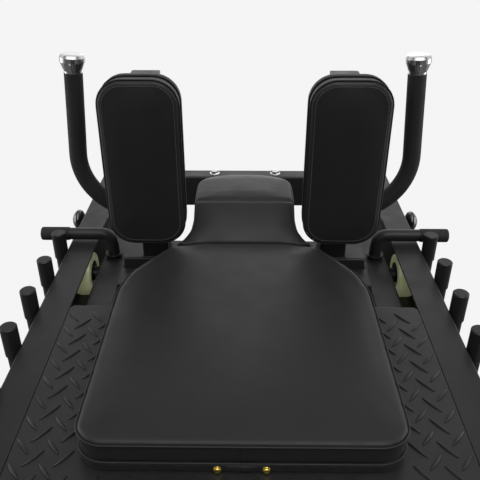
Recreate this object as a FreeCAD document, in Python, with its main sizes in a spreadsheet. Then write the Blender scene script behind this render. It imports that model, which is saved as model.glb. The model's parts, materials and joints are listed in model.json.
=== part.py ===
"""A plate-loaded 45 degree hack squat machine, in millimetres.

A sled with a back pad, a headrest and two shoulder pads rolls on four wheels inside two inclined channel rails.
Two swinging lock arms rest on the stop posts beside the rails. The world frame has +Z up, +Y from the foot
platform towards the high end of the rails, and its origin on the floor under the middle of the machine.

Everything on the incline is drawn in the deck's frame: X across, Y up the slope (called s) and Z square to the
rails (called n, with zero at the rails' top face). The deck's frame is the world frame turned about X.
"""
import FreeCAD, Part
import math
import os
import re

import Sketcher
from FreeCAD import Placement, Rotation, Vector

# Driving dimensions: the name of each cell and its value, in millimetres or degrees
DIMENSIONS = {
    # The deck's frame in the world
    "incline": 45, "deck_back": -235, "deck_height": 480,
    # Box sections: wall and corner radius
    "section_wall": 3, "section_corner": 4, "plate_gauge": 3, "plug_rim": 5,
    # Channel rails, and the crossbars between them
    "rail_inner": 285, "rail_outer": 335, "rail_depth": 100, "rail_wall": 4, "rail_low": -430, "rail_high": 1372,
    "rail_corner": 3, "crossbar_width": 40, "crossbar_depth": 76,
    # Floor base, uprights and rubber feet
    "base_half_length": 935, "base_height": 70, "base_width": 50, "foot_height": 12, "foot_radius": 28,
    "upright_depth": 70, "upright_station": 1290, "leg_depth": 60, "leg_station": -340,
    # Foot platform, square to the rails
    "platform_top": 380, "platform_bottom": -95, "platform_fold": 28, "strut_depth": 50, "strut_height": 300,
    # Stop posts beside the rails
    "post_centre": 350, "post_radius": 11, "post_top": 32, "post_bottom": -95, "post_first": 443, "post_pitch": 94,
    "post_count": 7, "sleeve_radius": 13, "sleeve_bottom": -20, "sleeve_bevel": 1.5, "bracket_outer": 357,
    "bracket_half": 15, "bracket_top": -45, "bracket_bottom": -80,
    # Fasteners and bumpers
    "bolt_offset": 72, "washer_radius": 12, "washer_height": 2, "nut_radius": 9.5, "nut_height": 8,
    "bumper_radius": 18, "bumper_length": 18, "bumper_centre": 255, "bumper_level": -55,
    # Side members and cross members of the sled
    "member_inner": 228, "member_outer": 277, "member_top": -34, "member_bottom": -110, "sled_low": 440,
    "sled_high": 1190, "end_tube_width": 40, "end_tube_depth": 40,
    "cross_low": 970, "cross_high": 1037, "cross_bottom": -60, "cross_half": 223, "bridge_low": 915,
    "bridge_top": -20, "bridge_bottom": -74,
    # Tread plate and its joists
    "tread_half": 284, "tread_far": 823, "tread_fold": 14, "tread_corner": 7, "tread_bend": 2.5, "joist_width": 30,
    # Wheels and axles
    "axle_low": 560, "axle_high": 999, "axle_level": -53.7, "axle_radius": 10, "axle_half": 325,
    "spacer_radius": 14, "wheel_radius": 42, "wheel_inner": 290, "wheel_outer": 320, "hub_radius": 25,
    "bore_clearance": 0.05, "face_clearance": 0.3, "wheel_crown": 2,
    # Lock arms
    "lock_centre": 255, "lock_station": 1033.3, "lock_level": 15, "lock_radius": 11.5, "lock_bend": 20,
    "lock_grip_start": 336, "lock_end": 388, "boss_radius": 13.5, "boss_top": -29, "collar_radius": 17,
    "collar_top": -26, "stem_radius": 8,
    # Shoulder uprights, boards and pads
    "post_inner": 140, "post_outer": 187, "shoulder_board": 957, "shoulder_back": 974, "upright_back": 1024,
    "shoulder_top": 343, "shoulder_bottom": 56, "shoulder_front": 924, "shoulder_inner": 101,
    "shoulder_outer": 231, "shoulder_corner": 42, "shoulder_post_top": 328,
    # Handles
    "handle_station": 992, "handle_radius": 12.5, "grip_radius": 15, "handle_bend": 100, "handle_lean": 4.3,
    "handle_bend_level": 190, "handle_straight": 141, "cap_radius": 21, "cap_length": 30,
    # Back pad and headrest
    "pad_low": 492, "pad_half": 200, "pad_shoulder": 800, "hip": 850, "hip_half": 190, "neck": 936, "neck_half": 130,
    "head_start": 944, "flare_low": 956, "flare_low_half": 108, "flare_high": 972, "flare_high_half": 95,
    "head_crease": 1025, "head_half": 91, "head_end": 1180, "board_thickness": 14, "pad_top": 50, "crease_top": 92,
    "head_end_top": 78, "pad_corner": 38, "pillow_corner": 82, "hip_corner": 120,
    "pad_bolt_offset": 29, "pad_bolt_level": 5.5, "pad_bolt_radius": 5, "pad_bolt_head": 4,
    # Weight bar
    "bar_half": 370, "bar_low": 530, "bar_high": 590, "bar_bottom": -170, "flange_radius": 60,
    "flange_thickness": 8, "horn_radius": 24.5, "horn_length": 250, "horn_wall": 4, "horn_cap": 6,
    # Parking pins
    "pin_station": 1200, "pin_level": -45, "pin_radius": 6, "pin_inner": 316, "housing_radius": 13,
    "housing_end": 347, "knob_end": 379, "knob_radius": 23, "knob_neck": 11,
}
SIDES = {"left": -1, "right": 1}
BOX_EDGES = {"x": (9, 10, 11, 12), "y": (2, 4, 6, 8), "z": (1, 3, 5, 7)}  # a box's four edges along each axis
END_GAP = 1  # how far a cutting tool passes the end of what it cuts

document = FreeCAD.newDocument("hack_squat")
sheet = document.addObject("Spreadsheet::Sheet", "dims")
for row, (alias, value) in enumerate(DIMENSIONS.items(), 1):
    sheet.set(f"A{row}", str(value))
    sheet.setAlias(f"A{row}", alias)
document.recompute()
nodes = []


# ---- Formulas and placement ----

def cells(formula):
    """The formula, with each of the sheet's names written as a reference to its cell."""
    return re.sub(r"[a-z][a-z_]+", lambda word: "dims." + word[0] if word[0] in DIMENSIONS else word[0], formula)


def bind(thing, **formulas):
    """Bind the object's properties to formulas in the sheet's names."""
    for name, formula in formulas.items():
        thing.setExpression(name, cells(formula))


def locate(thing, x="0", y="0", z="0"):
    """Bind the object's place."""
    for axis, formula in zip("xyz", (x, y, z)):
        thing.setExpression(f"Placement.Base.{axis}", cells(formula))


def deck_y(s, n="0"):
    """World Y of a point on the deck."""
    return f"deck_back + ({s}) * cos(incline) - ({n}) * sin(incline)"


def deck_z(s, n="0"):
    """World Z of a point on the deck."""
    return f"deck_height + ({s}) * sin(incline) + ({n}) * cos(incline)"


def set_on_deck(thing, x="0", s="0", n="0"):
    """Turn the object into the deck's frame and bind its place there."""
    thing.Placement = Placement(Vector(), Rotation(Vector(1, 0, 0), DIMENSIONS["incline"]))
    bind(thing, **{"Placement.Rotation.Angle": "incline"})
    locate(thing, x, deck_y(s, n), deck_z(s, n))


def across(side, low, high):
    """The limits across X of something that spans low to high on the right and is mirrored on the left."""
    return (low, high) if side > 0 else (f"-({high})", f"-({low})")


def name_node(thing, label):
    """Give a finished sub-part its name, and keep it for the export."""
    thing.Label = label
    nodes.append(thing)
    return thing


def node(label, shapes, deck=True):
    """A named sub-part made of one or more separate solids, on the deck or in the world's frame."""
    group = document.addObject("Part::Compound", label)
    group.Links = shapes
    if deck:
        set_on_deck(group)
    return name_node(group, label)


# ---- Primitives and booleans ----

def block(x, y, z):
    """A box between two limits along each axis."""
    made = document.addObject("Part::Box", "block")
    for size, (low, high) in zip(("Length", "Width", "Height"), (x, y, z)):
        bind(made, **{size: f"({high}) - ({low})"})
    locate(made, x[0], y[0], z[0])
    return made


def rounded_block(x, y, z, along):
    """A box whose four edges along one axis are rounded like a box section's; a thin one is a tube's end plug."""
    made = document.addObject("Part::Fillet", "rounded")
    made.Base = block(x, y, z)
    corner = DIMENSIONS["section_corner"]
    made.Edges = [(edge, corner, corner) for edge in BOX_EDGES[along]]
    return made


def section(x, y, z, along):
    """A box section with rounded corners, hollow along one axis."""
    limits = []
    for axis, (low, high) in zip("xyz", (x, y, z)):
        inset = f"-{END_GAP}" if axis == along else "section_wall"
        limits.append((f"({low}) + {inset}", f"({high}) - ({inset})"))
    return cut(rounded_block(x, y, z, along), [block(*limits)])


def rod(axis, x, y, z, radius, length):
    """A round bar that starts at a point and runs along an axis."""
    made = document.addObject("Part::Cylinder", "rod")
    bind(made, Radius=radius, Height=length)
    turns = {"x": Rotation(Vector(0, 1, 0), 90), "y": Rotation(Vector(1, 0, 0), -90), "z": Rotation()}
    made.Placement = Placement(Vector(), turns[axis])
    locate(made, x, y, z)
    return made


def rod_across(side, start, end, y, z, radius):
    """A round bar along X, from start to end on the right, mirrored on the left."""
    low, high = across(side, start, end)
    return rod("x", low, y, z, radius, f"({high}) - ({low})")


def cut(base, tools):
    """The base with each tool taken away in turn."""
    for tool in tools:
        made = document.addObject("Part::Cut", "cut")
        made.Base, made.Tool = base, tool
        base = made
    return base


def fuse(*shapes):
    """Several overlapping or touching shapes as one solid."""
    made = document.addObject("Part::MultiFuse", "fuse")
    made.Shapes = list(shapes)
    made.Refine = True
    return made


# ---- Part Design ----

def new_body(label):
    made = document.addObject("PartDesign::Body", label)
    made.AllowCompound = True
    return made


def origin(body, role):
    """One of the body's own origin planes or axes."""
    return next(feature for feature in body.Origin.OriginFeatures if feature.Role == role)


def outline(body, role, corners, height="0"):
    """A closed polygon sketched on an origin plane, each corner bound by its two distances from the origin."""
    sketch = body.newObject("Sketcher::SketchObject", "outline")
    sketch.AttachmentSupport = (origin(body, role), [""])
    sketch.MapMode = "FlatFace"
    sketch.setExpression("AttachmentOffset.Base.z", cells(height))
    count = len(corners)
    ring = [Vector(math.cos(math.tau * k / count), math.sin(math.tau * k / count), 0) for k in range(count)]
    for k in range(count):
        sketch.addGeometry(Part.LineSegment(ring[k], ring[(k + 1) % count]), False)
    for k, (x, y) in enumerate(corners):
        sketch.addConstraint(Sketcher.Constraint("Coincident", k, 2, (k + 1) % count, 1))
        for kind, start, formula in (("DistanceX", ring[k].x, x), ("DistanceY", ring[k].y, y)):
            number = sketch.addConstraint(Sketcher.Constraint(kind, -1, 1, k, 1, start))
            sketch.setExpression(f"Constraints[{number}]", cells(formula))
    return sketch


def extrude(body, role, corners, low, high):
    """Pad a polygon from one limit to another along the normal of its plane: Y for XZ, X for YZ and Z for XY."""
    backwards = role == "XZ_Plane"  # this plane's normal is -Y
    pad = body.newObject("PartDesign::Pad", "pad")
    pad.Profile = outline(body, role, corners, f"-({high})" if backwards else low)
    bind(pad, Length=f"({high}) - ({low})")
    body.Tip = pad
    return pad


def turn(body, corners, plane="XZ_Plane", axis="Z_Axis"):
    """Revolve a polygon about one of the body's axes."""
    made = body.newObject("PartDesign::Revolution", "turned")
    made.Profile = outline(body, plane, corners)
    made.ReferenceAxis = (origin(body, axis), [""])
    made.Angle = 360
    body.Tip = made
    return made


def dress(body, kind, size, wanted):
    """Fillet or chamfer those straight edges of the body for which wanted(middle, direction) is true."""
    document.recompute()
    tip = body.Tip
    names = []
    for number, edge in enumerate(tip.Shape.Edges, 1):
        if edge.Curve.TypeId != "Part::GeomLine":
            continue
        start, end = (vertex.Point for vertex in edge.Vertexes)
        if wanted((start + end) / 2, (end - start).normalize()):
            names.append(f"Edge{number}")
    made = body.newObject("PartDesign::" + kind, kind.lower())
    made.Base = (tip, names)
    bind(made, **{"Radius" if kind == "Fillet" else "Size": size})
    body.Tip = made
    return made


def repeat(body, feature, axis, pitch, count):
    """Repeat a feature along one of the body's axes."""
    made = body.newObject("PartDesign::LinearPattern", "row")
    made.Originals = [feature]
    made.Direction = (origin(body, axis), [""])
    bind(made, Length=f"({pitch}) * ({count} - 1)", Occurrences=count)
    body.Tip = made
    return made


# ---- Frame ----

def make_rails():
    """Two channels, open inwards, each with a hole through its web for the parking pin."""
    for name, side in SIDES.items():
        x_in, x_out, x_web = f"{side} * rail_inner", f"{side} * rail_outer", f"{side} * (rail_outer - rail_wall)"
        corners = [(x_in, "0"), (x_out, "0"), (x_out, "-rail_depth"), (x_in, "-rail_depth"),
                   (x_in, "rail_wall - rail_depth"), (x_web, "rail_wall - rail_depth"), (x_web, "-rail_wall"),
                   (x_in, "-rail_wall")]
        body = new_body("channel")
        extrude(body, "XZ_Plane", corners, "rail_low", "rail_high")
        outer = side * DIMENSIONS["rail_outer"]
        dress(body, "Fillet", "rail_corner", lambda p, d: abs(d.y) > 0.9 and abs(p.x - outer) < 1)
        hole = rod_across(side, "rail_inner", "rail_outer + 1", "pin_station", "pin_level",
                          "pin_radius + bore_clearance")
        rail = cut(body, [hole])
        set_on_deck(rail)
        name_node(rail, f"rail_{name}")


def make_crossbars():
    """Box sections that join the rails at both ends, with bolts through the high one and bumpers for the sled."""
    span, depth = ("-rail_inner", "rail_inner"), ("-crossbar_depth", "0")
    node("rail_crossbars", [section(span, station, depth, "x") for station in
                            (("rail_low", "rail_low + crossbar_width"), ("rail_high - crossbar_width", "rail_high"))])
    node("crossbar_bolts", [hex_bolt(f"{side} * bolt_offset", "rail_high - crossbar_width / 2", "0")
                            for side in SIDES.values()])
    bumpers = []
    for side in SIDES.values():
        for start in ("rail_high - crossbar_width - bumper_length", "rail_low + crossbar_width"):
            bumpers.append(rod("y", f"{side} * bumper_centre", start, "bumper_level", "bumper_radius",
                               "bumper_length"))
    node("sled_bumpers", bumpers)


def hex_bolt(x, y, z):
    """A hexagon head on a washer, standing on a face."""
    washer = rod("z", x, y, z, "washer_radius", "washer_height")
    head = document.addObject("Part::Prism", "head")
    head.Polygon = 6
    bind(head, Circumradius="nut_radius", Height="nut_height + washer_height")
    locate(head, x, y, z)
    return fuse(washer, head)


def deck_space(x, y, z):
    """A block in the deck's frame, for trimming what stands on the floor."""
    space = document.addObject("Part::Compound", "space")
    space.Links = [block(x, y, z)]
    set_on_deck(space)
    return space


def stand(side, middle, depth, height, space):
    """A box section that stands on the base and is trimmed to the slope above it."""
    x = across(side, "rail_inner", "rail_outer")
    y = (f"{middle} - ({depth}) / 2", f"{middle} + ({depth}) / 2")
    return cut(section(x, y, ("foot_height + base_height", height), "z"), [space])


def make_base():
    """The floor frame, its stands and its rubber feet."""
    floor = ("foot_height", "foot_height + base_height")
    above_rails = ("-2000", "2000"), ("-2000", "3000"), ("-rail_depth", "2000")
    before_platform = ("-2000", "2000"), ("rail_low - plate_gauge * 2", "3000"), ("-2000", "2000")
    uprights, legs, struts, feet, plugs = [], [], [], [], []
    ends = ("plug_rim - base_half_length", "base_half_length - plug_rim")
    for name, side in SIDES.items():
        x = across(side, "rail_inner", "rail_outer")
        node(f"base_tube_{name}", [section(x, ends, floor, "y")], deck=False)
        for y in (("-base_half_length", ends[0]), (ends[1], "base_half_length")):
            plugs.append(rounded_block(x, y, floor, "y"))
        uprights.append(stand(side, f"({deck_y('upright_station', '-rail_depth')})", "upright_depth",
                              deck_z("upright_station + upright_depth", "-rail_depth"), deck_space(*above_rails)))
        legs.append(stand(side, f"({deck_y('leg_station', '-rail_depth')})", "leg_depth",
                          deck_z("leg_station + leg_depth", "-rail_depth"), deck_space(*above_rails)))
        struts.append(stand(side, f"({deck_y('rail_low', 'strut_height')})", "strut_depth",
                            deck_z("rail_low + strut_depth", "strut_height"), deck_space(*before_platform)))
        for y in ("foot_radius - base_half_length + 20", "0", "base_half_length - foot_radius - 20"):
            middle = f"{side} * (rail_inner + rail_outer) / 2"
            feet.append(rod("z", middle, y, "0", "foot_radius", "foot_height"))
    node("rear_uprights", uprights, deck=False)
    node("front_legs", legs, deck=False)
    node("platform_struts", struts, deck=False)
    node("rubber_feet", feet, deck=False)
    node("base_plugs", plugs, deck=False)
    crossings = ((ends[0], f"{ends[0]} + base_width"), (f"{ends[1]} - base_width", ends[1]))
    node("base_crossmembers", [section(("-rail_inner", "rail_inner"), y, floor, "x") for y in crossings],
         deck=False)


def make_platform():
    """The foot platform: a plate square to the rails, folded back along its top and bottom edges."""
    front, back = "rail_low", "rail_low - plate_gauge * 2"
    fold = f"{back} - platform_fold"
    corners = [(front, "platform_bottom"), (front, "platform_top"), (fold, "platform_top"),
               (fold, "platform_top - plate_gauge"), (back, "platform_top - plate_gauge"),
               (back, "platform_bottom + plate_gauge"), (fold, "platform_bottom + plate_gauge"),
               (fold, "platform_bottom")]
    body = new_body("foot_platform")
    extrude(body, "YZ_Plane", corners, "-rail_outer", "rail_outer")
    face = DIMENSIONS["rail_low"]
    dress(body, "Fillet", "rail_corner", lambda p, d: abs(d.x) > 0.9 and abs(p.y - face) < 1)
    set_on_deck(body)
    name_node(body, "foot_platform")


def make_stop_posts():
    """A row of stop posts beside each rail, their plastic sleeves, and the brackets that hold them to the rail."""
    rows = {
        "stop_posts": [("0", "post_bottom"), ("post_radius", "post_bottom"),
                       ("post_radius", "post_top - sleeve_bevel * 2"), ("0", "post_top - sleeve_bevel * 2")],
        "stop_sleeves": [("post_radius", "sleeve_bottom"), ("sleeve_radius", "sleeve_bottom"),
                         ("sleeve_radius", "post_top - sleeve_bevel"), ("sleeve_radius - sleeve_bevel", "post_top"),
                         ("0", "post_top"), ("0", "post_top - sleeve_bevel * 2"),
                         ("post_radius", "post_top - sleeve_bevel * 2")],
    }
    for label, corners in rows.items():
        sides = []
        for side in SIDES.values():
            body = new_body("post")
            repeat(body, turn(body, corners), "Y_Axis", "post_pitch", "post_count")
            locate(body, f"{side} * post_centre", "post_first")
            sides.append(body)
        node(label, sides)
    brackets = []
    for side in SIDES.values():
        for k in range(DIMENSIONS["post_count"]):
            station = f"post_first + {k} * post_pitch"
            saddle = block(across(side, "rail_outer", "bracket_outer"),
                           (f"{station} - bracket_half", f"{station} + bracket_half"),
                           ("bracket_bottom", "bracket_top"))
            hole = rod("z", f"{side} * post_centre", station, f"bracket_bottom - {END_GAP}", "post_radius",
                       f"bracket_top - bracket_bottom + {2 * END_GAP}")
            brackets.append(cut(saddle, [hole]))
    node("post_brackets", brackets)


def make_parking_pins():
    """A sprung pin through each rail's web, in a housing welded to the rail, with a round knob to pull."""
    housings = []
    for name, side in SIDES.items():
        place = ("pin_station", "pin_level")
        bush = rod_across(side, "rail_outer", "housing_end", *place, "housing_radius")
        bore = rod_across(side, f"rail_outer - {END_GAP}", f"housing_end + {END_GAP}", *place,
                          "pin_radius + bore_clearance")
        housings.append(cut(bush, [bore]))
        pin = rod_across(side, "pin_inner", "housing_end + knob_neck", *place, "pin_radius")
        start, neck = f"{side} * (housing_end + face_clearance)", f"{side} * (housing_end + 6)"
        inner = f"{side} * (housing_end + knob_neck)"
        round_side = [(9, -6), (11.5, -2.5), (15, -0.5), (18, 0), (21, -0.8), (24.5, -3.5), (28, -8), (30.5, -13)]
        corners = [(start, "pin_radius"), (start, "knob_neck + 3"), (neck, "knob_neck + 1")]
        corners += [(f"{side} * (housing_end + {x})", f"knob_radius + {y}") for x, y in round_side]
        corners += [(f"{side} * knob_end", "knob_radius - 18"), (f"{side} * knob_end", "0"), (inner, "0"),
                    (inner, "pin_radius")]
        knob = new_body("knob")
        turn(knob, corners, "XY_Plane", "X_Axis")
        locate(knob, "0", *place)
        node(f"parking_pin_{name}", [pin, knob])
    node("pin_housings", housings)


# ---- Sled ----

def make_sled_frame():
    """Side members with holes for the axles, the cross members between and under them, and their end plugs."""
    plugs = []
    ends = ("sled_low + plug_rim", "sled_high - plug_rim")
    tail = ("sled_high - end_tube_width", "sled_high"), ("member_bottom - end_tube_depth", "member_bottom")
    for name, side in SIDES.items():
        x, level = across(side, "member_inner", "member_outer"), ("member_bottom", "member_top")
        member = section(x, ends, level, "y")
        for station in (("sled_low", ends[0]), (ends[1], "sled_high")):
            plugs.append(rounded_block(x, station, level, "y"))
        plugs.append(rounded_block(across(side, "member_outer - plug_rim", "member_outer"), *tail, "x"))
        plugs.append(rounded_block(across(side, "post_inner", "post_outer"), ("shoulder_back", "upright_back"),
                                   ("shoulder_post_top", "shoulder_post_top + plug_rim"), "z"))
        holes = [rod_across(side, f"member_inner - {END_GAP}", f"member_outer + {END_GAP}", station, "axle_level",
                            "axle_radius") for station in ("axle_low", "axle_high")]
        node(f"sled_member_{name}", [cut(member, holes)])
    node("sled_crossmember", [section(("-cross_half", "cross_half"), ("cross_low", "cross_high"),
                                      ("cross_bottom", "0"), "x")])
    node("crossmember_flanges", [block(across(side, "cross_half", "member_inner"), ("cross_low", "cross_high"),
                                       ("cross_bottom", "member_top")) for side in SIDES.values()])
    node("bridge_bar", [section(("-member_inner", "member_inner"), ("bridge_low", "cross_low"),
                                ("bridge_bottom", "bridge_top"), "x")])
    node("sled_plugs", plugs)
    node("sled_end_tube", [section(("plug_rim - member_outer", "member_outer - plug_rim"), *tail, "x")])
    node("headrest_beam", [section(("-30", "30"), ("cross_high", "head_end - 30"), ("-28", "0"), "y")])
    joists = []
    for start in ("sled_low + 10", "sled_low + 180", "tread_far - joist_width - 12"):
        joists.append(section(("-member_outer", "member_outer"), (start, f"{start} + joist_width"),
                              ("member_top", "-plate_gauge"), "x"))
    node("tread_joists", joists)


def make_tread_plate():
    """The tread plate, folded down along its far edge, with clipped far corners."""
    far = "tread_far"
    corners = [("sled_low", "-plate_gauge"), ("sled_low", "0"), (far, "0"), (far, "-tread_fold"),
               (f"{far} - plate_gauge", "-tread_fold"), (f"{far} - plate_gauge", "-plate_gauge")]
    body = new_body("tread_plate")
    extrude(body, "YZ_Plane", corners, "-tread_half", "tread_half")
    edge = DIMENSIONS["tread_far"]
    dress(body, "Chamfer", "tread_corner", lambda p, d: abs(d.z) > 0.9 and abs(p.y - edge) < 1)
    dress(body, "Fillet", "tread_bend", lambda p, d: abs(d.x) > 0.9 and abs(p.y - edge) < 1 and p.z > -1)
    set_on_deck(body)
    name_node(body, "tread_plate")


def make_axles():
    """One axle right across and a stub axle on each side above it, with disc heads, and the spacers by the wheels."""
    spacers = []
    low = rod("x", "-axle_half", "axle_low", "axle_level", "axle_radius", "2 * axle_half")
    axles = [fuse(low, *[rod_across(side, "wheel_outer + face_clearance", "axle_half", "axle_low", "axle_level",
                                    "spacer_radius") for side in SIDES.values()])]
    for side in SIDES.values():
        high = ("axle_high", "axle_level")
        axles.append(fuse(rod_across(side, "member_inner", "axle_half", *high, "axle_radius"),
                          rod_across(side, "wheel_outer + face_clearance", "axle_half", *high, "spacer_radius")))
        for station in ("axle_low", "axle_high"):
            place = (station, "axle_level")
            ring = rod_across(side, "member_outer", "wheel_inner - face_clearance", *place, "spacer_radius")
            spacers.append(cut(ring, [rod_across(side, "member_outer", "wheel_inner", *place, "axle_radius")]))
    node("axles", axles)
    node("axle_spacers", spacers)


def make_wheels():
    """Four wheels: a crowned polyurethane tyre on a hub that turns on the axle."""
    for end, station in (("front", "axle_low"), ("rear", "axle_high")):
        for name, side in SIDES.items():
            inner, outer = f"{side} * wheel_inner", f"{side} * wheel_outer"
            bore = "axle_radius + bore_clearance"
            tyre = new_body("tyre")
            turn(tyre, [(inner, "hub_radius"), (inner, "wheel_radius - wheel_crown"),
                        (f"{side} * (wheel_inner + 6)", "wheel_radius"),
                        (f"{side} * (wheel_outer - 6)", "wheel_radius"), (outer, "wheel_radius - wheel_crown"),
                        (outer, "hub_radius")], "XY_Plane", "X_Axis")
            hub = new_body("hub")
            turn(hub, [(inner, bore), (inner, "hub_radius"), (outer, "hub_radius"), (outer, bore)],
                 "XY_Plane", "X_Axis")
            for body, kind in ((tyre, "tyre"), (hub, "hub")):
                set_on_deck(body, "0", station, "axle_level")
                name_node(body, f"wheel_{kind}_{end}_{name}")


def make_lock_arms():
    """Cranked arms that swing on bosses on the side members, each with a grip sleeve over its outer end."""
    bosses = []
    for name, side in SIDES.items():
        x, station = f"{side} * lock_centre", "lock_station"
        boss = fuse(rod("z", x, station, "member_top", "boss_radius", "boss_top - member_top"),
                    rod("z", x, station, "boss_top", "collar_radius", "collar_top - boss_top"))
        bore = rod("z", x, station, "member_top", "stem_radius + bore_clearance", "collar_top - member_top")
        bosses.append(cut(boss, [bore]))
        foot = "collar_top + face_clearance"
        elbow = f"{side} * (lock_centre + lock_bend)"
        stem = rod("z", x, station, "member_top + 1", "stem_radius", f"{foot} - member_top")
        rise = rod("z", x, station, foot, "lock_radius", f"lock_level - lock_bend - ({foot})")
        bend = arc_bar(elbow, station, "lock_level - lock_bend", "lock_bend", "lock_radius",
                       90 if side > 0 else 0, "90")
        bar = rod_across(side, "lock_centre + lock_bend", "lock_end", station, "lock_level", "lock_radius")
        node(f"lock_arm_{name}", [fuse(stem, rise, bend, bar)])
        grip = rod_across(side, "lock_grip_start", "lock_end + 2", station, "lock_level", "sleeve_radius")
        core = rod_across(side, f"lock_grip_start - {END_GAP}", "lock_end", station, "lock_level", "lock_radius")
        node(f"lock_grip_{name}", [cut(grip, [core])])
    node("lock_bosses", bosses)


def arc_bar(x, y, z, bend, radius, start, sweep):
    """A round bar bent about the point (x, z), from a start angle above +X, anticlockwise from +X to +Z."""
    made = document.addObject("Part::Torus", "bend")
    bind(made, Radius1=bend, Radius2=radius, Angle3=sweep)
    made.Placement = Placement(Vector(), Rotation(Vector(1, 0, 0), 90) * Rotation(Vector(0, 0, 1), start))
    locate(made, x, y, z)
    return made


# ---- Shoulder rests and handles ----

def make_shoulder_rests():
    """An upright, a board and a cushion for each shoulder."""
    uprights, boards = [], []
    for name, side in SIDES.items():
        uprights.append(section(across(side, "post_inner", "post_outer"), ("shoulder_back", "upright_back"),
                                ("0", "shoulder_post_top"), "z"))
        boards.append(shoulder_slab(side, "shoulder_board", "shoulder_back"))
        pad = shoulder_slab(side, "shoulder_front", "shoulder_board")
        set_on_deck(pad)
        name_node(pad, f"shoulder_pad_{name}")
    node("shoulder_uprights", uprights)
    node("shoulder_boards", boards)


def shoulder_slab(side, low, high):
    """The round-cornered outline of a shoulder rest, between two stations up the slope."""
    x_low, x_high = across(side, "shoulder_inner", "shoulder_outer")
    body = new_body("shoulder")
    extrude(body, "XZ_Plane", [(x_low, "shoulder_bottom"), (x_high, "shoulder_bottom"),
                               (x_high, "shoulder_top"), (x_low, "shoulder_top")], low, high)
    dress(body, "Fillet", "shoulder_corner", lambda p, d: abs(d.y) > 0.9)
    return body


def handle_bar(side, radius, length):
    """The handle's line: a bend away from the upright, then a straight leaning a little inwards."""
    station, level = "handle_station", "handle_bend_level"
    sweep = "90 + handle_lean"
    start = 270 if side > 0 else 180 - DIMENSIONS["handle_lean"]
    bend = arc_bar(f"{side} * post_outer", station, level, "handle_bend", radius, start, sweep)
    straight = rod("z", "0", station, "0", radius, length)
    lean_handle(straight, side)
    locate(straight, f"{side} * (post_outer + handle_bend * cos(handle_lean))", station,
           f"{level} + handle_bend * sin(handle_lean)")
    return fuse(bend, straight)


def lean_handle(thing, side, travel=None):
    """Lean an object with the handle; travel is how far along the straight it sits."""
    thing.Placement = Placement(Vector(), Rotation(Vector(0, -side, 0), DIMENSIONS["handle_lean"]))
    bind(thing, **{"Placement.Rotation.Angle": "handle_lean"})
    if travel:
        locate(thing, f"{side} * (post_outer + handle_bend * cos(handle_lean) - ({travel}) * sin(handle_lean))",
               "handle_station", f"handle_bend_level + handle_bend * sin(handle_lean) + ({travel}) * cos(handle_lean)")


def make_handles():
    """Bent handle tubes, the rubber grips over them, and flared metal end caps."""
    tubes, grips, caps = [], [], []
    for side in SIDES.values():
        past_end = f"handle_straight + {END_GAP}"
        tubes.append(cut(handle_bar(side, "handle_radius", "handle_straight"),
                         [handle_bar(side, "handle_radius - section_wall", past_end)]))
        grips.append(cut(handle_bar(side, "grip_radius", "handle_straight"),
                         [handle_bar(side, "handle_radius", past_end)]))
        cap = new_body("cap")
        turn(cap, [("0", "0"), ("grip_radius", "0"), ("grip_radius", "3"), ("grip_radius + 2", "7"),
                   ("cap_radius - 1", "15"), ("cap_radius", "18"), ("cap_radius", "cap_length - 5"),
                   ("cap_radius - 3", "cap_length - 1"), ("cap_radius - 8", "cap_length"), ("0", "cap_length")])
        lean_handle(cap, side, "handle_straight")
        caps.append(cap)
    node("handle_tubes", tubes)
    node("handle_grips", grips)
    node("handle_caps", caps)


# ---- Back pad ----

def make_back_pad():
    """The upholstery board, the back cushion, the headrest cushion with its ramp, and two brass bolts."""
    hips = [("pad_half", "pad_low"), ("pad_half", "pad_shoulder"), ("hip_half", "hip"), ("neck_half", "neck")]
    cushion = hips + [("neck_half", "head_start")]
    head = [("neck_half", "head_start"), ("flare_low_half", "flare_low"), ("flare_high_half", "flare_high"),
            ("head_half", "flare_high + 20"), ("head_half", "head_end")]
    plans = {"back_board": (hips + head[1:], "0", "board_thickness"),
             "back_cushion": (cushion, "board_thickness", "pad_top"),
             "head_cushion": (head, "board_thickness", "crease_top")}
    for label, (half, low, high) in plans.items():
        mirrored = [(f"-({x})", s) for x, s in reversed(half)]
        body = new_body("plan")
        extrude(body, "XY_Plane", half + mirrored, low, high)
        if label != "head_cushion":
            front = DIMENSIONS["pad_low"]
            dress(body, "Fillet", "pad_corner", lambda p, d: abs(d.z) > 0.9 and abs(p.y - front) < 1)
            bends = (DIMENSIONS["pad_shoulder"], DIMENSIONS["hip"])
            dress(body, "Fillet", "hip_corner", lambda p, d: abs(d.z) > 0.9 and min(abs(p.y - b) for b in bends) < 1)
        if label != "back_cushion":
            end = DIMENSIONS["head_end"]
            dress(body, "Fillet", "pillow_corner - 2", lambda p, d: abs(d.z) > 0.9 and abs(p.y - end) < 1)
        if label == "head_cushion":
            body = trim_head(body)
        set_on_deck(body)
        name_node(body, label)
    bolts = []
    for side in SIDES.values():
        x = f"{side} * pad_bolt_offset"
        bolts.append(rod("y", x, "pad_low - pad_bolt_head", "pad_bolt_level", "pad_bolt_radius", "pad_bolt_head"))
    node("pad_bolts", bolts)


def trim_head(plan):
    """The headrest's plan, kept only under its side profile: a ramp up to the crease, then the pillow."""
    side_view = new_body("profile")
    extrude(side_view, "YZ_Plane", [("head_start", "board_thickness"), ("head_start", "pad_top"),
                                    ("head_crease", "crease_top"), ("head_end - 30", "crease_top - 3"),
                                    ("head_end", "head_end_top"), ("head_end", "board_thickness")],
            "-pad_half", "pad_half")
    made = document.addObject("Part::Common", "head")
    made.Base, made.Tool = plan, side_view
    return made


# ---- Weight bar ----

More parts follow.
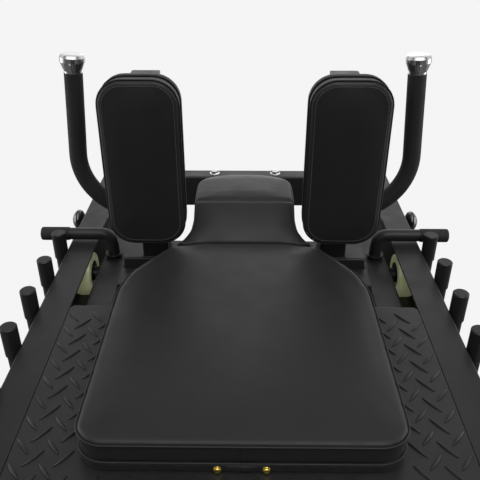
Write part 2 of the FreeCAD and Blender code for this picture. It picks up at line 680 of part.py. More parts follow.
def make_weight_bar():
    """A box section under the sled, with a flange and a sleeve for weight plates at each end."""
    node("weight_bar", [section(("-bar_half", "bar_half"), ("bar_low", "bar_high"),
                                ("bar_bottom", "member_bottom"), "x")])
    place = ("(bar_low + bar_high) / 2", "(bar_bottom + member_bottom) / 2")
    flange_end = "bar_half + flange_thickness"
    horn_end = f"{flange_end} + horn_length"
    flanges, horns, caps = [], [], []
    for side in SIDES.values():
        flanges.append(rod_across(side, "bar_half", flange_end, *place, "flange_radius"))
        sleeve = rod_across(side, flange_end, horn_end, *place, "horn_radius")
        bore = rod_across(side, flange_end, f"{horn_end} + {END_GAP}", *place, "horn_radius - horn_wall")
        horns.append(cut(sleeve, [bore]))
        caps.append(fuse(rod_across(side, horn_end, f"{horn_end} + horn_cap", *place, "horn_radius - 0.5"),
                         rod_across(side, f"{horn_end} - 20", horn_end, *place, "horn_radius - horn_wall")))
    node("weight_flanges", flanges)
    node("weight_horns", horns)
    node("horn_caps", caps)


# ---- Checks and export ----

def write_parts():
    """Recompute, refuse anything that failed, and write each sub-part's shape."""
    document.recompute()
    failed = [thing.Name for thing in document.Objects if {"Invalid", "Error"} & set(thing.State)]
    if failed:
        raise RuntimeError(f"features failed: {failed}")
    os.makedirs("parts", exist_ok=True)
    for thing in nodes:
        shape = thing.Shape
        if shape.isNull() or not shape.isValid() or not shape.Solids:
            raise RuntimeError(f"{thing.Label} has no valid solid")
        shape.exportStep(f"parts/{thing.Label}.step")
        print(f"{thing.Label}: {len(shape.Solids)} solid(s), {shape.Volume / 1000:.1f} cm3")


make_rails()
make_crossbars()
make_base()
make_platform()
make_stop_posts()
make_parking_pins()
make_sled_frame()
make_tread_plate()
make_axles()
make_wheels()
make_lock_arms()
make_shoulder_rests()
make_handles()
make_back_pad()
make_weight_bar()
write_parts()
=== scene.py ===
"""A 45-degree hack squat sled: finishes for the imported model, its upholstery and small details, and a studio."""
import json
import math

import bmesh
import bpy
from mathutils import Matrix, Vector
from mathutils.bvhtree import BVHTree
from mathutils.kdtree import KDTree


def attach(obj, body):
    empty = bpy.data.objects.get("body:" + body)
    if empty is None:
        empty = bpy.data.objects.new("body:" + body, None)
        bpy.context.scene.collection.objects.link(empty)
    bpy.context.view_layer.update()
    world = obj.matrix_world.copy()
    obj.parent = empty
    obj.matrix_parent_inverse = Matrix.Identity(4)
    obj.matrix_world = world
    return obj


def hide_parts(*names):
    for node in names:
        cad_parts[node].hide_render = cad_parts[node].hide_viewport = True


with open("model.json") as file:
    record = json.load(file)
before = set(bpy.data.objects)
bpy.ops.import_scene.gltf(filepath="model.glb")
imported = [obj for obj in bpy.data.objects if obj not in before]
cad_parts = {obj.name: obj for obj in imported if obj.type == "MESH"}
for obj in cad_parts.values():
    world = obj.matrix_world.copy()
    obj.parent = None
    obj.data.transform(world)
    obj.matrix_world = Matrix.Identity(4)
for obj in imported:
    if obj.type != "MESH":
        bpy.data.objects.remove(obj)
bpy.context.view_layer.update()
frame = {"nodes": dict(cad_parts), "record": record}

# Deck axes: x across, y up the slope, z off the deck. Every piece is modelled in them, in metres.
DECK = Matrix.Translation((0, -0.235, 0.480)) @ Matrix.Rotation(math.radians(45), 4, "X")
SIDES = {"left": -1, "right": 1}


def slot_of(node):
    """The node's material slot in the record."""
    return next(part["material_slot"] for part in frame["record"]["subparts"] if part["node"] == node)


def deck_box(node):
    """Lowest and highest corner of a CAD node, in deck axes."""
    back = DECK.inverted()
    points = [back @ v.co for v in frame["nodes"][node].data.vertices]
    return (Vector(min(p[i] for p in points) for i in range(3)),
            Vector(max(p[i] for p in points) for i in range(3)))


# ---- Materials ----

class Shader:
    """A Principled material that is built node by node."""

    def __init__(self, name, color, roughness, **settings):
        self.material = bpy.data.materials.new(name)
        self.material.use_nodes = True
        self.tree = self.material.node_tree
        self.bsdf = self.tree.nodes["Principled BSDF"]
        self.color = color
        self.bsdf.inputs["Base Color"].default_value = (*color, 1)
        self.bsdf.inputs["Roughness"].default_value = roughness
        for socket, value in settings.items():
            self.bsdf.inputs[socket.replace("_", " ")].default_value = value
        self.place = self.add("ShaderNodeTexCoord").outputs["Object"]
        self.height = None

    def add(self, kind, inputs=None, **settings):
        """A node, with its inputs linked to sockets or set to values."""
        made = self.tree.nodes.new(kind)
        for key, value in settings.items():
            setattr(made, key, value)
        for key, value in (inputs or {}).items():
            if isinstance(value, bpy.types.NodeSocket):
                self.tree.links.new(value, made.inputs[key])
            else:
                made.inputs[key].default_value = value
        return made

    def noise(self, scale, detail=3.0):
        return self.add("ShaderNodeTexNoise", {"Vector": self.place, "Scale": scale, "Detail": detail}).outputs["Fac"]

    def cells(self, scale, feature="F1"):
        return self.add("ShaderNodeTexVoronoi", {"Vector": self.place, "Scale": scale},
                        feature=feature).outputs["Distance"]

    def spread(self, value, low, high, lowest=0.0, highest=1.0):
        """The value's range from low to high, drawn out to another range."""
        return self.add("ShaderNodeMapRange", {"Value": value, "From Min": low, "From Max": high,
                                               "To Min": lowest, "To Max": highest}).outputs["Result"]

    def vary_color(self, value, low, high):
        """Mix the base colour from low to high times itself, by the value."""
        ramp = self.add("ShaderNodeValToRGB", {"Fac": value})
        for stop, factor in zip(ramp.color_ramp.elements, (low, high)):
            stop.color = (*[min(1.0, c * factor) for c in self.color], 1)
        self.tree.links.new(ramp.outputs["Color"], self.bsdf.inputs["Base Color"])

    def vary_roughness(self, value, low, high):
        self.tree.links.new(self.spread(value, 0.3, 0.7, low, high), self.bsdf.inputs["Roughness"])

    def bump(self, value, depth, strength=1.0):
        """Raise the surface by depth metres where the value is 1; each call adds to the one before."""
        inputs = {"Height": value, "Distance": depth, "Strength": strength}
        if self.height:
            inputs["Normal"] = self.height
        self.height = self.add("ShaderNodeBump", inputs).outputs["Normal"]
        self.tree.links.new(self.height, self.bsdf.inputs["Normal"])

    def soften_edges(self, radius):
        """Round the shading of sharp edges, as a coat of paint does."""
        self.height = self.add("ShaderNodeBevel", {"Radius": radius}, samples=4).outputs["Normal"]
        self.tree.links.new(self.height, self.bsdf.inputs["Normal"])


def painted_steel(name, color, roughness):
    """Powder coat: fine orange peel, faint handling marks and dust."""
    coat = Shader(name, color, roughness, Coat_Weight=0.12, Coat_Roughness=0.22)
    coat.soften_edges(0.0012)
    marks = coat.noise(9, 5)
    coat.vary_color(marks, 0.75, 1.45)
    coat.vary_roughness(coat.noise(34, 4), roughness - 0.07, roughness + 0.08)
    coat.bump(coat.noise(1100, 2), 0.00022, 0.55)
    return coat.material


def upholstery(name, color, roughness, grain):
    """Vinyl with a fine pebbled grain over soft, slow unevenness."""
    skin = Shader(name, color, roughness, Sheen_Weight=0.05, Sheen_Roughness=0.5)
    skin.vary_color(skin.noise(7, 3), 0.85, 1.25)
    skin.vary_roughness(skin.noise(26, 4), roughness - 0.05, roughness + 0.07)
    skin.bump(skin.noise(16, 2), 0.0012, 0.35)
    skin.bump(skin.cells(grain, "SMOOTH_F1"), 0.00022, 0.5)
    skin.bump(skin.noise(grain * 2.6, 2), 0.00006, 0.5)
    return skin.material


def moulded(name, color, roughness, grain, depth, **settings):
    """Rubber or plastic with the fine texture of its mould."""
    skin = Shader(name, color, roughness, **settings)
    skin.soften_edges(0.0008)
    skin.vary_color(skin.noise(20, 3), 0.8, 1.25)
    skin.vary_roughness(skin.noise(60, 4), max(0.03, roughness - 0.06), roughness + 0.06)
    skin.bump(skin.noise(grain, 3), depth, 0.6)
    return skin.material


def plated(name, color, roughness):
    """Bright metal with faint brushing and smudges."""
    metal = Shader(name, color, roughness, Metallic=1.0)
    metal.soften_edges(0.0007)
    metal.vary_color(metal.noise(45, 4), 0.86, 1.05)
    metal.vary_roughness(metal.noise(120, 5), max(0.03, roughness - 0.04), roughness + 0.08)
    metal.bump(metal.noise(900, 2), 0.00003, 0.4)
    return metal.material


def cast_polyurethane(name, color):
    """Cloudy, slightly see-through polyurethane, with a faint painted glow (a small emission) that stands in for the
    light reaching the wheels in their slot.
    """
    body = Shader(name, color, 0.24, Subsurface_Weight=0.55, Subsurface_Scale=0.012, Coat_Weight=0.3,
                  Coat_Roughness=0.12)
    body.bsdf.inputs["Subsurface Radius"].default_value = (1.0, 0.9, 0.4)
    # Painted light: the wheel glows faintly yellow-green, though it is no lamp, so it looks brighter in its dim slot.
    body.bsdf.inputs["Emission Color"].default_value = (0.66, 0.70, 0.36, 1)
    body.bsdf.inputs["Emission Strength"].default_value = 0.11
    body.vary_color(body.noise(38, 3), 0.72, 1.15)
    body.vary_roughness(body.noise(150, 3), 0.18, 0.34)
    body.bump(body.noise(420, 2), 0.00008, 0.5)
    return body.material


FINISHES = {
    "black_paint": painted_steel("powder_coat", (0.0185, 0.0186, 0.0190), 0.46),
    "tread_paint": painted_steel("tread_coat", (0.0245, 0.0246, 0.0250), 0.41),
    "black_rubber": moulded("rubber", (0.016, 0.016, 0.0165), 0.62, 700, 0.00012),
    "grip_rubber": moulded("foam_grip", (0.026, 0.026, 0.0275), 0.72, 1500, 0.00035),
    "black_plastic": moulded("plastic", (0.018, 0.018, 0.0190), 0.42, 1200, 0.00008),
    "gloss_knob": moulded("gloss_plastic", (0.010, 0.010, 0.0105), 0.10, 90, 0.00002, Coat_Weight=1.0,
                          Coat_IOR=1.9, Coat_Roughness=0.03),
    "chrome": plated("chrome_plate", (0.88, 0.885, 0.90), 0.07),
    "black_steel": plated("blackened_steel", (0.045, 0.046, 0.05), 0.34),
    "brass": plated("brass_plate", (1.0, 0.71, 0.16), 0.16),
    "black_vinyl": upholstery("pad_vinyl", (0.0175, 0.0175, 0.0185), 0.48, 620),
    "vinyl_wrap": upholstery("wrap_vinyl", (0.0150, 0.0150, 0.0160), 0.48, 620),
    "polyurethane": cast_polyurethane("wheel_urethane", (0.88, 0.90, 0.58)),
}
THREAD = Shader("thread", (0.16, 0.16, 0.165), 0.60)
THREAD.vary_color(THREAD.noise(900, 2), 0.6, 1.5)
THREAD.bump(THREAD.noise(2400, 2), 0.0001, 0.6)


def dress_cad_nodes():
    """Give every CAD node the finish of its material slot in the record."""
    for part in frame["record"]["subparts"]:
        materials = frame["nodes"][part["node"]].data.materials
        materials.clear()
        materials.append(FINISHES[part["material_slot"]])


# ---- Mesh building ----

def add_loft(bm, rings, closed=False, caps=True):
    """Skin rings of points, each with the same number of points; closed joins the last ring to the first, and caps
    fills the end rings."""
    rows = [[bm.verts.new(p) for p in ring] for ring in rings]
    for low, high in zip(rows, rows[1:] + (rows[:1] if closed else [])):
        for i in range(len(low)):
            j = (i + 1) % len(low)
            bm.faces.new((low[i], low[j], high[j], high[i]))
    if caps and not closed:
        bm.faces.new(reversed(rows[0]))
        bm.faces.new(rows[-1])


def add_tube(bm, path, radius, sides=8, closed=False, ripple=0.0):
    """A round bar along a path; ripple is how much each second point of it swells."""
    rings, side = [], Vector((0.31, 0.59, 0.74))
    for i, point in enumerate(path):
        ahead = path[(i + 1) % len(path)] if closed or i + 1 < len(path) else point
        behind = path[i - 1] if closed or i else point
        along = (ahead - behind).normalized()
        side = (side - side.dot(along) * along).normalized()
        up = along.cross(side)
        size = radius * (1 + ripple * (i % 2))
        rings.append([point + size * (math.cos(a) * side + math.sin(a) * up)
                      for a in (2 * math.pi * k / sides for k in range(sides))])
    add_loft(bm, rings, closed)


def add_turned(bm, centre, axis, profile, sides=24, wave=None):
    """Turn a profile of (height, radius) about an axis; wave(angle, height) adds to the radius."""
    axis = Vector(axis)
    side = axis.orthogonal().normalized()
    up = axis.cross(side)
    rings = []
    for height, radius in profile:
        ring = []
        for k in range(sides):
            a = 2 * math.pi * k / sides
            r = radius + (wave(a, height) if wave else 0)
            ring.append(Vector(centre) + height * axis + r * (math.cos(a) * side + math.sin(a) * up))
        rings.append(ring)
    add_loft(bm, rings)


def to_mesh(name, bm, smooth=True):
    """A mesh datablock from the bmesh, with its normals outwards."""
    bmesh.ops.recalc_face_normals(bm, faces=bm.faces)
    for face in bm.faces:
        face.smooth = smooth
    mesh = bpy.data.meshes.new(name)
    bm.to_mesh(mesh)
    bm.free()
    return mesh


def place(name, mesh, axes=Matrix()):
    """An object for the mesh, set on the deck by its own axes."""
    piece = bpy.data.objects.new(name, mesh)
    bpy.context.scene.collection.objects.link(piece)
    piece.matrix_world = DECK @ axes
    return piece


def piece_axes(piece):
    """The piece's own axes, as place takes them."""
    return DECK.inverted() @ piece.matrix_world


def fit(piece, body, slot, stands_for=(), material=None):
    """Give the piece its finish, fix it to its body, and say which nodes it stands for."""
    piece.data.materials.clear()
    piece.data.materials.append(material or FINISHES[slot])
    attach(piece, body)
    if stands_for:
        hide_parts(*stands_for)
    return piece


def bake(piece):
    """Swap the piece's mesh for what its modifiers make of it."""
    graph = bpy.context.evaluated_depsgraph_get()
    graph.update()
    made = bpy.data.meshes.new_from_object(piece.evaluated_get(graph))
    piece.modifiers.clear()
    piece.data = made


# ---- Upholstery ----

BOARD = 0.014    # thickness of the wooden board under the back pad
PIPING = 0.0013  # radius of the piping cord at a cushion's upper seam
LOWER_PIPING = 0.0014  # and at its lower seam
SEAM_DROP = 0.0055  # how far below a cushion's upper face its piping is sewn
PAD_CORNERS = [(0.200, 0.492, 0.038), (0.200, 0.800, 0.120), (0.190, 0.850, 0.120), (0.130, 0.936, 0.006)]
HEAD_CORNERS = [(0.108, 0.956, 0.016), (0.095, 0.972, 0.030), (0.091, 0.992, 0.030), (0.091, 1.180, 0.082)]
CREASE = 1.025   # where the headrest's ramp meets its pillow
SHOULDER_BACK = 0.957  # where the shoulder cushions meet their boards, up the slope
SHOULDER_AXES = Matrix(((1, 0, 0, 0), (0, 0, -1, SHOULDER_BACK), (0, 1, 0, 0), (0, 0, 0, 1)))


def mirrored(right):
    """The outline's right side and its mirror image, anticlockwise from the low end."""
    return right + [(-u, v, r) for u, v, r in reversed(right)]


def outline(corners, inset=0.0, step=0.005):
    """Evenly spaced points round a polygon whose corners are arcs, given as (u, v, radius), anticlockwise."""
    line = []
    for i, (u, v, radius) in enumerate(corners):
        here = Vector((u, v))
        back = (Vector(corners[i - 1][:2]) - here).normalized()
        ahead = (Vector(corners[(i + 1) % len(corners)][:2]) - here).normalized()
        half = back.angle(ahead) / 2
        run = radius / math.tan(half)
        centre = here + (back + ahead).normalized() * (radius / math.sin(half))
        start, end = here + back * run - centre, here + ahead * run - centre
        turn = start.angle_signed(end)
        line += [centre + Matrix.Rotation(-turn * k / 8, 2) @ start for k in range(9)]
    length = sum((a - b).length for a, b in zip(line, line[1:] + line[:1]))
    count = int(length / step)
    points, walked, target = [], 0.0, 0.0
    for a, b in zip(line, line[1:] + line[:1]):
        edge = (b - a).length
        while len(points) < count and target <= walked + edge:
            points.append(a.lerp(b, (target - walked) / edge if edge else 0))
            target += length / count
        walked += edge
    inward = []
    for i, point in enumerate(points):
        tangent = (points[(i + 1) % count] - points[i - 1]).normalized()
        inward.append(point + inset * Vector((-tangent.y, tangent.x)))
    return inward


def nearest(line):
    """A function that gives the distance of a point from the line, seen along the pad's thickness."""
    tree = KDTree(len(line))
    for i, point in enumerate(line):
        tree.insert((point.x, point.y, 0), i)
    tree.balance()
    return lambda p: tree.find((p.x, p.y, 0))[2]


def swell(piece, still, cap, frames=20):
    """Fill the shell with cloth pressure; points for which still is true stay, and none moves further than cap."""
    rest = [v.co.copy() for v in piece.data.vertices]
    group = piece.vertex_groups.new(name="still")
    group.add([i for i, p in enumerate(rest) if still(p)], 1.0, "REPLACE")
    cloth = piece.modifiers.new("swell", "CLOTH")
    cloth.settings.use_pressure = True
    cloth.settings.uniform_pressure_force = 4.0
    cloth.settings.effector_weights.gravity = 0
    cloth.settings.vertex_group_mass = group.name
    cloth.settings.mass = 0.15
    cloth.point_cache.frame_end = frames
    for number in range(1, frames + 1):
        bpy.context.scene.frame_set(number)
    graph = bpy.context.evaluated_depsgraph_get()
    full = [v.co.copy() for v in piece.evaluated_get(graph).data.vertices]
    piece.modifiers.clear()
    piece.vertex_groups.clear()
    bpy.context.scene.frame_set(1)
    pushes = [end - start for start, end in zip(rest, full)]
    pushes = [p.normalized() * cap * math.tanh(p.length / cap) if p.length > 1e-6 else p for p in pushes]
    for _ in range(6):  # a stretched cover has no sharp folds
        sums = [p.copy() for p in pushes]
        counts = [1] * len(pushes)
        for a, b in (edge.vertices for edge in piece.data.edges):
            sums[a] += pushes[b]
            sums[b] += pushes[a]
            counts[a] += 1
            counts[b] += 1
        pushes = [p if still(start) else total / count
                  for p, start, total, count in zip(pushes, rest, sums, counts)]
    for vertex, start, push in zip(piece.data.vertices, rest, pushes):
        vertex.co = start + push


def cushion(name, corners, low, high, axes=Matrix(), top=None, crown=0.003, cap=0.006, voxel=0.005):
    """A foam cushion in its cover: crowned, rounded, and drawn in where the piping is sewn.
    top(v) is the height of its upper face along its length, and high unless it is given."""
    top = top or (lambda v: high)
    edge = outline(corners, 0.0010)
    bm = bmesh.new()
    add_loft(bm, [[(p.x, p.y, z) for p in edge] for z in (low, high)])
    piece = place(name, to_mesh(name, bm), axes)
    remesh = piece.modifiers.new("even", "REMESH")
    remesh.mode, remesh.voxel_size = "VOXEL", voxel
    rounding = piece.modifiers.new("round", "SMOOTH")
    rounding.factor, rounding.iterations = 0.5, 5
    bake(piece)
    depth = nearest(edge)
    for vertex in piece.data.vertices:
        p = vertex.co
        lift = (p.z - low) / (high - low)
        inner = min(1.0, depth(p) / 0.05)
        p.z = low + lift * (top(p.y) - low) + max(0.0, lift) * crown * inner * (2 - inner)

    def still(p):
        at_seam = abs(p.z - (top(p.y) - SEAM_DROP)) < 0.0032 and depth(p) < 0.004
        return at_seam or p.z < low + 0.004

    swell(piece, still, cap)
    for polygon in piece.data.polygons:
        polygon.use_smooth = True
    return piece, edge


def add_subdivision(piece):
    smooth = piece.modifiers.new("smooth", "SUBSURF")
    smooth.levels = smooth.render_levels = 1


def cord_round(name, piece, edge, level, radius=PIPING):
    """Piping sewn round the cushion at a level, which may change along its length."""
    middle = sum(edge, Vector((0, 0))) / len(edge)
    path = [Vector((*(p + (p - middle).normalized() * 0.0008), level(p.y))) for p in edge]
    bm = bmesh.new()
    add_tube(bm, path, radius, closed=True)
    fit(place(name, to_mesh(name, bm), piece_axes(piece)), "sled", "black_vinyl")


def seam_line(tree, starts, direction, sink=0.0003):
    """Where lines of sight from the starts meet the cushion, sunk a little into it."""
    hits = [tree.ray_cast(start, direction)[0] for start in starts]
    return [hit + sink * Vector(direction) for hit in hits if hit]


def wrapped_board(bm, edge, low, high, push=None):
    """A board under stretched vinyl, round at its edges; push(point) moves its outline outwards."""
    middle = sum(edge, Vector((0, 0))) / len(edge)
    thick = high - low
    rings = []
    for share, inset in ((0, 0.020), (0, 0.0035), (0.10, 0.0012), (0.32, 0.0), (0.68, 0.0), (0.90, 0.0014),
                         (1, 0.0040), (1, 0.020)):
        ring = []
        for p in edge:
            inward = (middle - p).normalized()
            shift = inset - (push(p) * math.sin(math.pi * share) if push else 0)
            ring.append((*(p + inward * shift), low + share * thick))
        rings.append(ring)
    add_loft(bm, rings)


def back_pad():
    """The long back cushion on its board, with piping and a joined boxing strip."""
    corners = mirrored(PAD_CORNERS + [(0.070, 0.946, 0.150)])
    low, high = deck_box("back_cushion")
    pad, edge = cushion("back_cushion_vinyl", corners, BOARD + 0.0005, high.z - 0.0015, cap=0.0055)
    tree = BVHTree.FromObject(pad, bpy.context.evaluated_depsgraph_get())
    add_subdivision(pad)
    fit(pad, "sled", "black_vinyl", ["back_cushion"])
    seam = high.z - 0.0015 - SEAM_DROP
    cord_round("back_piping", pad, edge, lambda v: seam)
    cord_round("back_lower_piping", pad, edge, lambda v: BOARD + 0.0012, LOWER_PIPING)
    bm = bmesh.new()
    rise = [Vector((-0.003, low.y - 0.05, BOARD + 0.002 + i * 0.002)) for i in range(int((seam - BOARD) / 0.002))]
    for shift in (0.0, 0.0035):
        line = seam_line(tree, [p + Vector((shift, 0, 0)) for p in rise], (0, 1, 0))
        add_tube(bm, line, 0.0008 if shift else 0.0012)
    fit(place("back_boxing_join", to_mesh("back_boxing_join", bm)), "sled", "black_vinyl")

    def slack(p):
        """The wrap bulges a little between the bolts, and puckers at the round corners."""
        front = math.exp(-((p.y - low.y) / 0.012) ** 2)
        return 0.0022 * front * math.exp(-(p.x / 0.018) ** 2) + 0.0005 * front * math.sin(p.x * 310)

    bm = bmesh.new()
    wrapped_board(bm, outline(mirrored(PAD_CORNERS + HEAD_CORNERS)), 0.0, BOARD, slack)
    fit(place("back_board_wrap", to_mesh("back_board_wrap", bm)), "sled", "vinyl_wrap", ["back_board"])


def head_pad():
    """The headrest: a ramp up to a sewn channel, then a pillow."""
    profile = [(0.950, 0.048), (CREASE - 0.004, 0.0925), (CREASE + 0.030, 0.0935), (1.120, 0.0900), (1.180, 0.076)]

    def top(v):
        for (v0, h0), (v1, h1) in zip(profile, profile[1:]):
            if v <= v1:
                return h0 + (h1 - h0) * max(0.0, (v - v0) / (v1 - v0))
        return profile[-1][1]

    corners = mirrored([(0.070, 0.949, 0.150), (0.131, 0.939, 0.004)] + HEAD_CORNERS)
    pad, edge = cushion("head_cushion_vinyl", corners, BOARD + 0.0005, 0.085, top=top, crown=0.002, cap=0.005,
                        voxel=0.004)
    for vertex in pad.data.vertices:
        p = vertex.co
        if p.z > 0.04:
            p.z -= 0.0036 * math.exp(-((p.y - CREASE) / 0.0042) ** 2)
    tree = BVHTree.FromObject(pad, bpy.context.evaluated_depsgraph_get())
    add_subdivision(pad)
    fit(pad, "sled", "black_vinyl", ["head_cushion"])
    cord_round("head_piping", pad, edge, lambda v: top(v) - SEAM_DROP)
    bm = bmesh.new()
    across = [Vector((-0.084 + i * 0.004, CREASE, 0.15)) for i in range(43)]
    add_tube(bm, seam_line(tree, across, (0, 0, -1)), 0.0009)
    fit(place("head_channel_seam", to_mesh("head_channel_seam", bm)), "sled", "black_vinyl")


def shoulder_pads():
    """Two round-cornered shoulder cushions on wrapped boards, with piping and a line of stitching."""
    boards = bmesh.new()
    board_low, board_high = deck_box("shoulder_boards")
    for side in SIDES:
        low, high = deck_box(f"shoulder_pad_{side}")
        radius = 0.042
        corners = [(low.x, low.z, radius), (high.x, low.z, radius), (high.x, high.z, radius), (low.x, high.z, radius)]
        thick = high.y - low.y
        pad, edge = cushion(f"shoulder_cushion_{side}", corners, 0.0005, thick - 0.002, SHOULDER_AXES,
                            crown=0.002, cap=0.0045, voxel=0.004)
        tree = BVHTree.FromObject(pad, bpy.context.evaluated_depsgraph_get())
        add_subdivision(pad)
        fit(pad, "sled", "black_vinyl", [f"shoulder_pad_{side}"])
        cord_round(f"shoulder_piping_{side}", pad, edge, lambda v: thick - 0.002 - SEAM_DROP)
        cord_round(f"shoulder_back_piping_{side}", pad, edge, lambda v: 0.0015, LOWER_PIPING)
        stitches = bmesh.new()
        inner = outline(corners, 0.0085, 0.0021)
        for first, second in zip(inner[::2], inner[1::2]):
            ends = seam_line(tree, [Vector((*p, 0.1)) for p in (first, second)], (0, 0, -1), -0.0001)
            if len(ends) == 2:
                add_tube(stitches, ends, 0.0005, 6)
        fit(place(f"shoulder_stitching_{side}", to_mesh("stitches", stitches), SHOULDER_AXES), "sled", "black_vinyl",
            material=THREAD.material)
        wrapped_board(boards, outline(corners), SHOULDER_BACK - board_high.y, SHOULDER_BACK - board_low.y)
    fit(place("shoulder_board_wraps", to_mesh("shoulder_board_wraps", boards), SHOULDER_AXES), "sled", "vinyl_wrap",
        ["shoulder_boards"])


# ---- Metal details ----

def add_lug(bm, u, v, turn):
    """One raised lug of tread plate: a low pointed lens."""
    spin = Matrix.Rotation(turn, 3, "Z")
    rings = []
    for size, height in ((1.0, -0.0003), (0.86, 0.0014), (0.30, 0.0025)):
        rings.append([Vector((u, v, height)) + spin @ Vector((0.0175 * size * math.cos(a),
                                                              0.0028 * size * math.sin(a) * abs(math.sin(a)) ** 0.4, 0))
                      for a in (2 * math.pi * k / 14 for k in range(14))])
    add_loft(bm, rings)


def add_tread(bm, u_range, v_range, keep, pitch=0.0375):
    """Lugs in rows that lean alternately left and right, each row set off by half a pitch, where keep(u, v) is true."""
    rows = int((v_range[1] - v_range[0]) / (pitch / 2))
    for row in range(rows + 1):
        v = v_range[0] + row * pitch / 2
        u = u_range[0] + (row % 2) * pitch / 2
        while u <= u_range[1]:
            if keep(u, v):
                add_lug(bm, u, v, math.radians(50 if row % 2 else -50))
            u += pitch


def tread_lugs():
    """The pressed pattern of the deck plate, outside the pad."""
    low, high = deck_box("tread_plate")
    bm = bmesh.new()
    add_tread(bm, (low.x + 0.012, high.x - 0.012), (low.y + 0.014, high.y - 0.016),
              lambda u, v: abs(u) > 0.203 or v < 0.480)
    fit(place("deck_tread_lugs", to_mesh("deck_tread_lugs", bm)), "sled", "tread_paint")


def brass_bolts():
    """Domed brass bolts, each on a washer, in the front edge of the pad board."""
    low, high = deck_box("pad_bolts")
    centre = (low.z + high.z) / 2
    bm = bmesh.new()
    for sign in SIDES.values():
        at = (sign * (high.x - 0.005), high.y, centre)
        add_turned(bm, at, (0, -1, 0), [(-0.001, 0.0055), (0.0006, 0.0055), (0.0009, 0.0050)])
        add_turned(bm, at, (0, -1, 0), [(0.0008, 0.0046), (0.0020, 0.0045), (0.0032, 0.0036), (0.0040, 0.0022),
                                        (0.0042, 0.0010)])
    fit(place("brass_pad_bolts", to_mesh("brass_pad_bolts", bm)), "sled", "brass", ["pad_bolts"])


def crossbar_nuts():
    """Chrome nuts on washers, with the threaded end of the bolt through each."""
    low, high = deck_box("crossbar_bolts")
    across = high.x - 0.012
    middle = (low.y + high.y) / 2
    bm = bmesh.new()
    for sign in SIDES.values():
        at = (sign * across, middle, 0)
        add_turned(bm, at, (0, 0, 1), [(-0.001, 0.0118), (0.0014, 0.0120), (0.0020, 0.0114)], 32)
        add_turned(bm, at, (0, 0, 1), [(0.0019, 0.0086), (0.0028, 0.0095), (0.0080, 0.0095), (0.0092, 0.0084)], 6)
        add_turned(bm, at, (0, 0, 1), [(0.0085, 0.0050), (0.0098, 0.0048), (0.0100, 0.0040)], 20)
    fit(place("crossbar_nut_set", to_mesh("crossbar_nut_set", bm, False)), "frame", "chrome", ["crossbar_bolts"])


def knurled_grips():
    """Knurled sleeves on the ends of the lock arms."""
    for side, sign in SIDES.items():
        low, high = deck_box(f"lock_grip_{side}")
        radius = (high.z - low.z) / 2 - 0.0004
        length = high.x - low.x
        start = (low.x if sign > 0 else high.x, (low.y + high.y) / 2, (low.z + high.z) / 2)

        def diamonds(angle, height):
            inside = 0.003 < height < length - 0.003
            lines = math.sin(14 * angle + 900 * height) * math.sin(14 * angle - 900 * height)
            return 0.0006 * abs(lines) - 0.0002 if inside else 0

        profile = [(0.0, radius - 0.0015), (0.0012, radius)]
        profile += [(0.003 + i * (length - 0.006) / 60, radius) for i in range(61)]
        profile += [(length - 0.0012, radius), (length, radius - 0.0015)]
        bm = bmesh.new()
        add_turned(bm, start, (sign, 0, 0), profile, 84, diamonds)
        fit(place(f"knurled_grip_{side}", to_mesh("knurled_grip", bm)), f"arm_{side}",
            slot_of(f"lock_grip_{side}"), [f"lock_grip_{side}"])


def bead(bm, ends, closed=False, radius=0.0021, pitch=0.0016):
    """A weld bead through the corner points, with its small ripples."""
    ends = [Vector(e) for e in ends]
    path = []
    for a, b in zip(ends, ends[1:] + (ends[:1] if closed else [])):
        steps = max(2, int((b - a).length / pitch))
        path += [a.lerp(b, i / steps) for i in range(steps)]
    if not closed:
        path.append(ends[-1])
    add_tube(bm, path, radius, 7, closed, 0.22)


def corners_at(low, high, level):
    """The corners of a box's section, at a level off the deck."""
    return [(low.x, low.y, level), (high.x, low.y, level), (high.x, high.y, level), (low.x, high.y, level)]


def welds():
    """Beads where the crossbars meet the rails, and where the shoulder uprights stand on the sled."""
    bm = bmesh.new()
    bar_low, bar_high = deck_box("rail_crossbars")
    for sign in SIDES.values():
        x = sign * (bar_high.x - 0.0005)
        for station in (bar_low.y + 0.040, bar_high.y - 0.040):
            bead(bm, [(x, station, bar_low.z), (x, station, 0.0)])
    fit(place("frame_welds", to_mesh("frame_welds", bm)), "frame", "black_paint")
    bm = bmesh.new()
    low, high = deck_box("shoulder_uprights")
    foot = deck_box("sled_crossmember")[1].z
    for sign in SIDES.values():
        inner, outer = sorted((sign * 0.140, sign * high.x))
        bead(bm, corners_at(Vector((inner, low.y, 0)), Vector((outer, high.y, 0)), foot), True)
    fit(place("sled_welds", to_mesh("sled_welds", bm)), "sled", "black_paint")


# ---- Studio ----

AMBIENT = 0.125  # light from every side


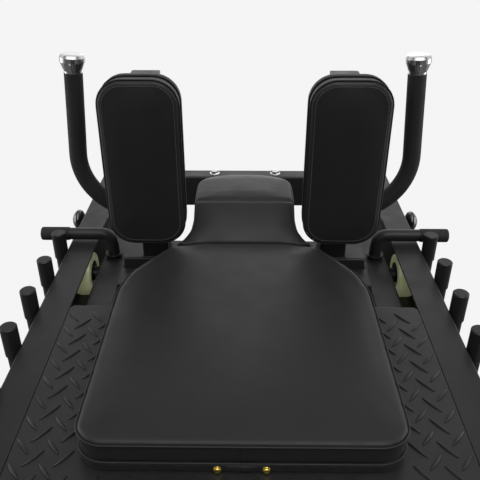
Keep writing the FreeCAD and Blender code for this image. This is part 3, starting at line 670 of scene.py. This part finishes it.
def studio():
    """A pale floor in soft light, which is brightest from the front and from above the back."""
    bm = bmesh.new()
    rings = []
    for radius in (0.5, 2.0, 6.0, 14.0):
        rings.append([(radius * math.cos(a), radius * math.sin(a), 0.0)
                      for a in (2 * math.pi * k / 48 for k in range(48))])
    add_loft(bm, rings, caps=False)
    bm.faces.new([v for v in bm.verts if v.co.length < 0.51])
    floor = bpy.data.objects.new("floor", to_mesh("floor", bm))
    bpy.context.scene.collection.objects.link(floor)
    paper = Shader("paper", (0.80, 0.80, 0.80), 0.85)
    paper.vary_color(paper.noise(2.5, 2), 0.985, 1.01)
    floor.data.materials.append(paper.material)
    floor.visible_glossy = floor.visible_diffuse = False

    world = bpy.data.worlds.new("studio")
    bpy.context.scene.world = world
    world.use_nodes = True
    tree = world.node_tree
    tree.nodes.clear()
    add, link = tree.nodes.new, tree.links.new
    direction = add("ShaderNodeTexCoord").outputs["Generated"]
    glow = None
    for aim, far, near, peak in (((0, -0.96, 0.28), 0.70, 0.98, 1.60), ((0, 0.80, 0.60), 0.55, 0.94, 1.15),
                                 ((0.98, 0, 0.2), 0.66, 0.97, 0.75), ((-0.98, 0, 0.2), 0.66, 0.97, 0.75)):
        toward, ramp, total = add("ShaderNodeVectorMath"), add("ShaderNodeMapRange"), add("ShaderNodeMath")
        toward.operation, ramp.interpolation_type, total.operation = "DOT_PRODUCT", "SMOOTHSTEP", "ADD"
        link(direction, toward.inputs[0])
        toward.inputs[1].default_value = aim
        link(toward.outputs["Value"], ramp.inputs["Value"])
        for socket, value in (("From Min", far), ("From Max", near), ("To Min", 0.0), ("To Max", peak)):
            ramp.inputs[socket].default_value = value
        link(ramp.outputs["Result"], total.inputs[0])
        if glow:
            link(glow, total.inputs[1])
        else:
            total.inputs[1].default_value = AMBIENT
        glow = total.outputs[0]
    lit, seen, mix = add("ShaderNodeBackground"), add("ShaderNodeBackground"), add("ShaderNodeMixShader")
    link(glow, lit.inputs["Strength"])
    seen.inputs["Color"].default_value = (0.91, 0.91, 0.91, 1)
    link(add("ShaderNodeLightPath").outputs["Is Camera Ray"], mix.inputs[0])
    link(lit.outputs[0], mix.inputs[1])
    link(seen.outputs[0], mix.inputs[2])
    link(mix.outputs[0], add("ShaderNodeOutputWorld").inputs["Surface"])

    for name, spot, size, power in (("key", (0.3, 0.2, 3.6), 3.0, 8), ("left", (-3.0, 0.4, 1.6), 1.6, 12),
                                    ("right", (3.0, 0.4, 1.6), 1.6, 12), ("front", (0.9, -3.0, 1.7), 0.6, 9)):
        light = bpy.data.objects.new(name, bpy.data.lights.new(name, "AREA"))
        light.data.size, light.data.energy = size, power
        light.location = spot
        light.rotation_euler = (Vector((0, 0, 0.75)) - Vector(spot)).to_track_quat("-Z", "Y").to_euler()
        bpy.context.scene.collection.objects.link(light)
    bpy.context.scene.view_settings.view_transform = "Standard"


def camera():
    """Above the foot platform, looking up the slope, with the deck falling away below the line of sight."""
    dip, aside = math.radians(30.29), math.radians(0.64)
    forward = Vector((-math.cos(dip) * math.sin(aside), math.cos(dip) * math.cos(aside), -math.sin(dip)))
    right = Vector((math.cos(aside), math.sin(aside), 0))
    up = right.cross(forward)
    turn = Matrix((right, up, -forward)).transposed().to_4x4()
    eye = bpy.data.objects.new("camera", bpy.data.cameras.new("camera"))
    eye.data.lens, eye.data.sensor_width, eye.data.clip_start = 46.35, 36, 0.02
    eye.matrix_world = DECK @ Matrix.Translation((0.0033, 0, 0.6062)) @ turn
    bpy.context.scene.collection.objects.link(eye)
    bpy.context.scene.camera = eye


dress_cad_nodes()
camera()
studio()
back_pad()
head_pad()
shoulder_pads()
tread_lugs()
brass_bolts()
crossbar_nuts()
knurled_grips()
welds()
